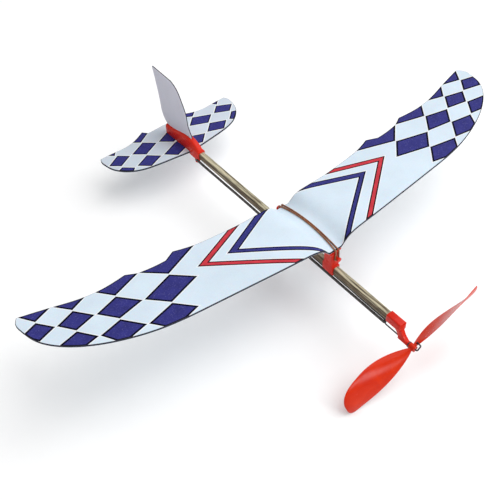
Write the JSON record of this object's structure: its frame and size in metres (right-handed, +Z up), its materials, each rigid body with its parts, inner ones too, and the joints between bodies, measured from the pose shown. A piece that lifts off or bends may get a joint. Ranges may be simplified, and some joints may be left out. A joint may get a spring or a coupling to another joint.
{
  "type": "rubber band plane",
  "caption": "Light rubber-powered model plane: wooden motor stick, printed foam wing, stabilizer and fin, moulded fittings, and a propeller turned by a rubber loop.",
  "frame": {"origin": "middle of the whole plane's bounding box in plan, at its lowest point", "axes": "+X towards the plane's left wing tip, +Y towards the tail along the motor stick, +Z up"},
  "size_m": [0.4038, 0.2916, 0.0854],
  "materials": {
    "stick_wood": "matte",
    "red_plastic": "gloss",
    "steel_wire": "satin",
    "motor_rubber": "satin",
    "band_rubber": "satin",
    "printed_foam": "matte",
    "plain_foam": "matte"
  },
  "bodies": {
    "fuselage": {"fuselage_stick": "stick_wood", "nose_bearing": "red_plastic", "tail_mount": "red_plastic", "stabilizer": "printed_foam", "fin": "plain_foam", "rubber_motor": "motor_rubber"},
    "propeller_group": {"propeller": "red_plastic", "prop_shaft": "steel_wire", "thrust_washer": "steel_wire"},
    "wing_group": {"wing_mount": "red_plastic", "wing": "printed_foam", "wing_band": "band_rubber"}
  },
  "joints": [
    {"name": "prop_spin", "type": "hinge", "parent": "fuselage", "child": "propeller_group", "pos_m": [0, -0.1412, 0.02335], "axis": [0, 1, 0], "continuous": true, "deforming": ["rubber_motor"]},
    {"name": "wing_slide", "type": "slide", "parent": "fuselage", "child": "wing_group", "axis": [0, 1, 0], "range_m": [-0.048, 0.09]}
  ]
}
